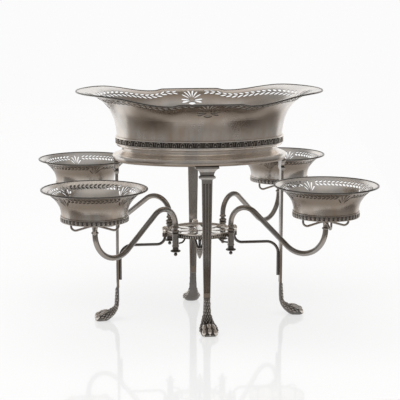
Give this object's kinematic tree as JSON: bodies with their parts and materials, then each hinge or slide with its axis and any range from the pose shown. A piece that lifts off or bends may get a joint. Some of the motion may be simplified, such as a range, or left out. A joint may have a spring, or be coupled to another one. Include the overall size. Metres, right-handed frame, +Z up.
{
  "type": "epergne",
  "caption": "Silver table centrepiece: an oval pierced basket lifts out of a stand on paw feet, with S-curved arms that swivel and carry small round pierced baskets.",
  "frame": {"origin": "on the floor under the middle of the stand", "axes": "+Z up, +X along the long axis of the oval basket, +Y towards the back"},
  "size_m": [0.4195, 0.4151, 0.3095],
  "materials": {
    "silver": "polished, softly tarnished",
    "dark_silver": "oxidised ornament"
  },
  "bodies": {
    "stand": {"stand_ring": "silver", "centre_plate": "silver", "pendant_finial": "silver", "socket_stays": "silver", "capital_right": "silver", "capital_back": "silver", "capital_left": "silver", "capital_front": "silver", "leg_right": "silver", "leg_back": "silver", "leg_left": "silver", "leg_front": "silver", "paw_right": "silver", "paw_back": "silver", "paw_left": "silver", "paw_front": "silver", "brace_right": "silver", "brace_back": "silver", "brace_left": "silver", "brace_front": "silver", "socket_back_right": "silver", "socket_back_left": "silver", "socket_front_left": "silver", "socket_front_right": "silver"},
    "main_basket": {"main_foot": "silver", "main_bowl": "silver", "main_border": "silver", "main_rim": "silver"},
    "arm_back_right": {"arm_back_right": "silver", "finial_nut_back_right": "silver", "holder_back_right": "silver"},
    "small_basket_back_right": {"small_foot_back_right": "dark_silver", "small_bowl_back_right": "silver", "small_border_back_right": "silver", "small_rim_back_right": "silver"},
    "arm_back_left": {"arm_back_left": "silver", "finial_nut_back_left": "silver", "holder_back_left": "silver"},
    "small_basket_back_left": {"small_foot_back_left": "dark_silver", "small_bowl_back_left": "silver", "small_border_back_left": "silver", "small_rim_back_left": "silver"},
    "arm_front_left": {"arm_front_left": "silver", "finial_nut_front_left": "silver", "holder_front_left": "silver"},
    "small_basket_front_left": {"small_foot_front_left": "dark_silver", "small_bowl_front_left": "silver", "small_border_front_left": "silver", "small_rim_front_left": "silver"},
    "arm_front_right": {"arm_front_right": "silver", "finial_nut_front_right": "silver", "holder_front_right": "silver"},
    "small_basket_front_right": {"small_foot_front_right": "dark_silver", "small_bowl_front_right": "silver", "small_border_front_right": "silver", "small_rim_front_right": "silver"}
  },
  "joints": [
    {"name": "main_basket_lift", "type": "slide", "parent": "stand", "child": "main_basket", "axis": [0, 0, 1], "range_m": [0, 0.06]},
    {"name": "arm_swivel_back_right", "type": "hinge", "parent": "stand", "child": "arm_back_right", "pos_m": [0.03677, 0.03677, 0.116], "axis": [0, 0, 1], "range_deg": [-25, 25]},
    {"name": "small_basket_lift_back_right", "type": "slide", "parent": "arm_back_right", "child": "small_basket_back_right", "axis": [0, 0, 1], "range_m": [0, 0.05]},
    {"name": "arm_swivel_back_left", "type": "hinge", "parent": "stand", "child": "arm_back_left", "pos_m": [-0.03677, 0.03677, 0.116], "axis": [0, 0, 1], "range_deg": [-25, 25]},
    {"name": "small_basket_lift_back_left", "type": "slide", "parent": "arm_back_left", "child": "small_basket_back_left", "axis": [0, 0, 1], "range_m": [0, 0.05]},
    {"name": "arm_swivel_front_left", "type": "hinge", "parent": "stand", "child": "arm_front_left", "pos_m": [-0.03677, -0.03677, 0.116], "axis": [0, 0, 1], "range_deg": [-25, 25]},
    {"name": "small_basket_lift_front_left", "type": "slide", "parent": "arm_front_left", "child": "small_basket_front_left", "axis": [0, 0, 1], "range_m": [0, 0.05]},
    {"name": "arm_swivel_front_right", "type": "hinge", "parent": "stand", "child": "arm_front_right", "pos_m": [0.03677, -0.03677, 0.116], "axis": [0, 0, 1], "range_deg": [-25, 25]},
    {"name": "small_basket_lift_front_right", "type": "slide", "parent": "arm_front_right", "child": "small_basket_front_right", "axis": [0, 0, 1], "range_m": [0, 0.05]}
  ]
}
